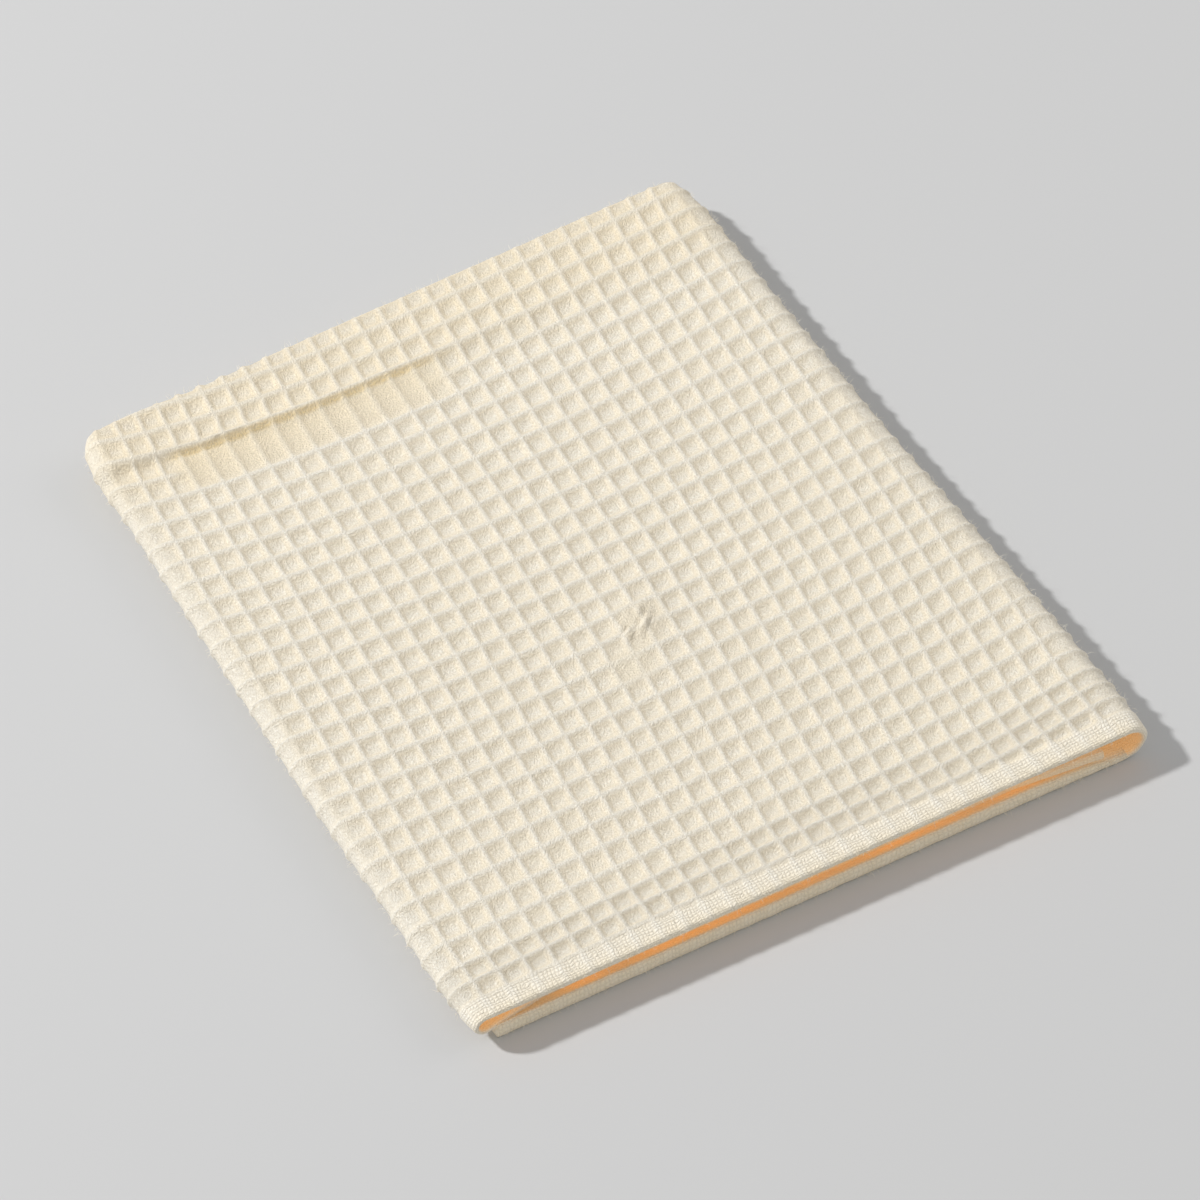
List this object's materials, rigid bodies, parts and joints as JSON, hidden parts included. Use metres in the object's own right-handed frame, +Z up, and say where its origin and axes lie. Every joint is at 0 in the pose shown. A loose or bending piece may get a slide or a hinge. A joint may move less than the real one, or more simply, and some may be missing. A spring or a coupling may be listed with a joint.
{
  "type": "folded dish cloth",
  "caption": "Cream cotton waffle-weave dish cloth, folded in half and then in three to a soft flat rectangle with rounded loops at its sides.",
  "frame": {"origin": "on the surface that the cloth lies on, under the middle of its bounding box", "axes": "+Z up; +Y from the open front edge with its hems to the far fold, along the longest side; +X along the front edge, towards the larger, right loop"},
  "size_m": [0.1724, 0.201, 0.012],
  "materials": {
    "cotton": "matt, undyed cream cotton in a deep waffle weave"
  },
  "bodies": {
    "root": {"cloth": "cotton"}
  },
  "joints": []
}
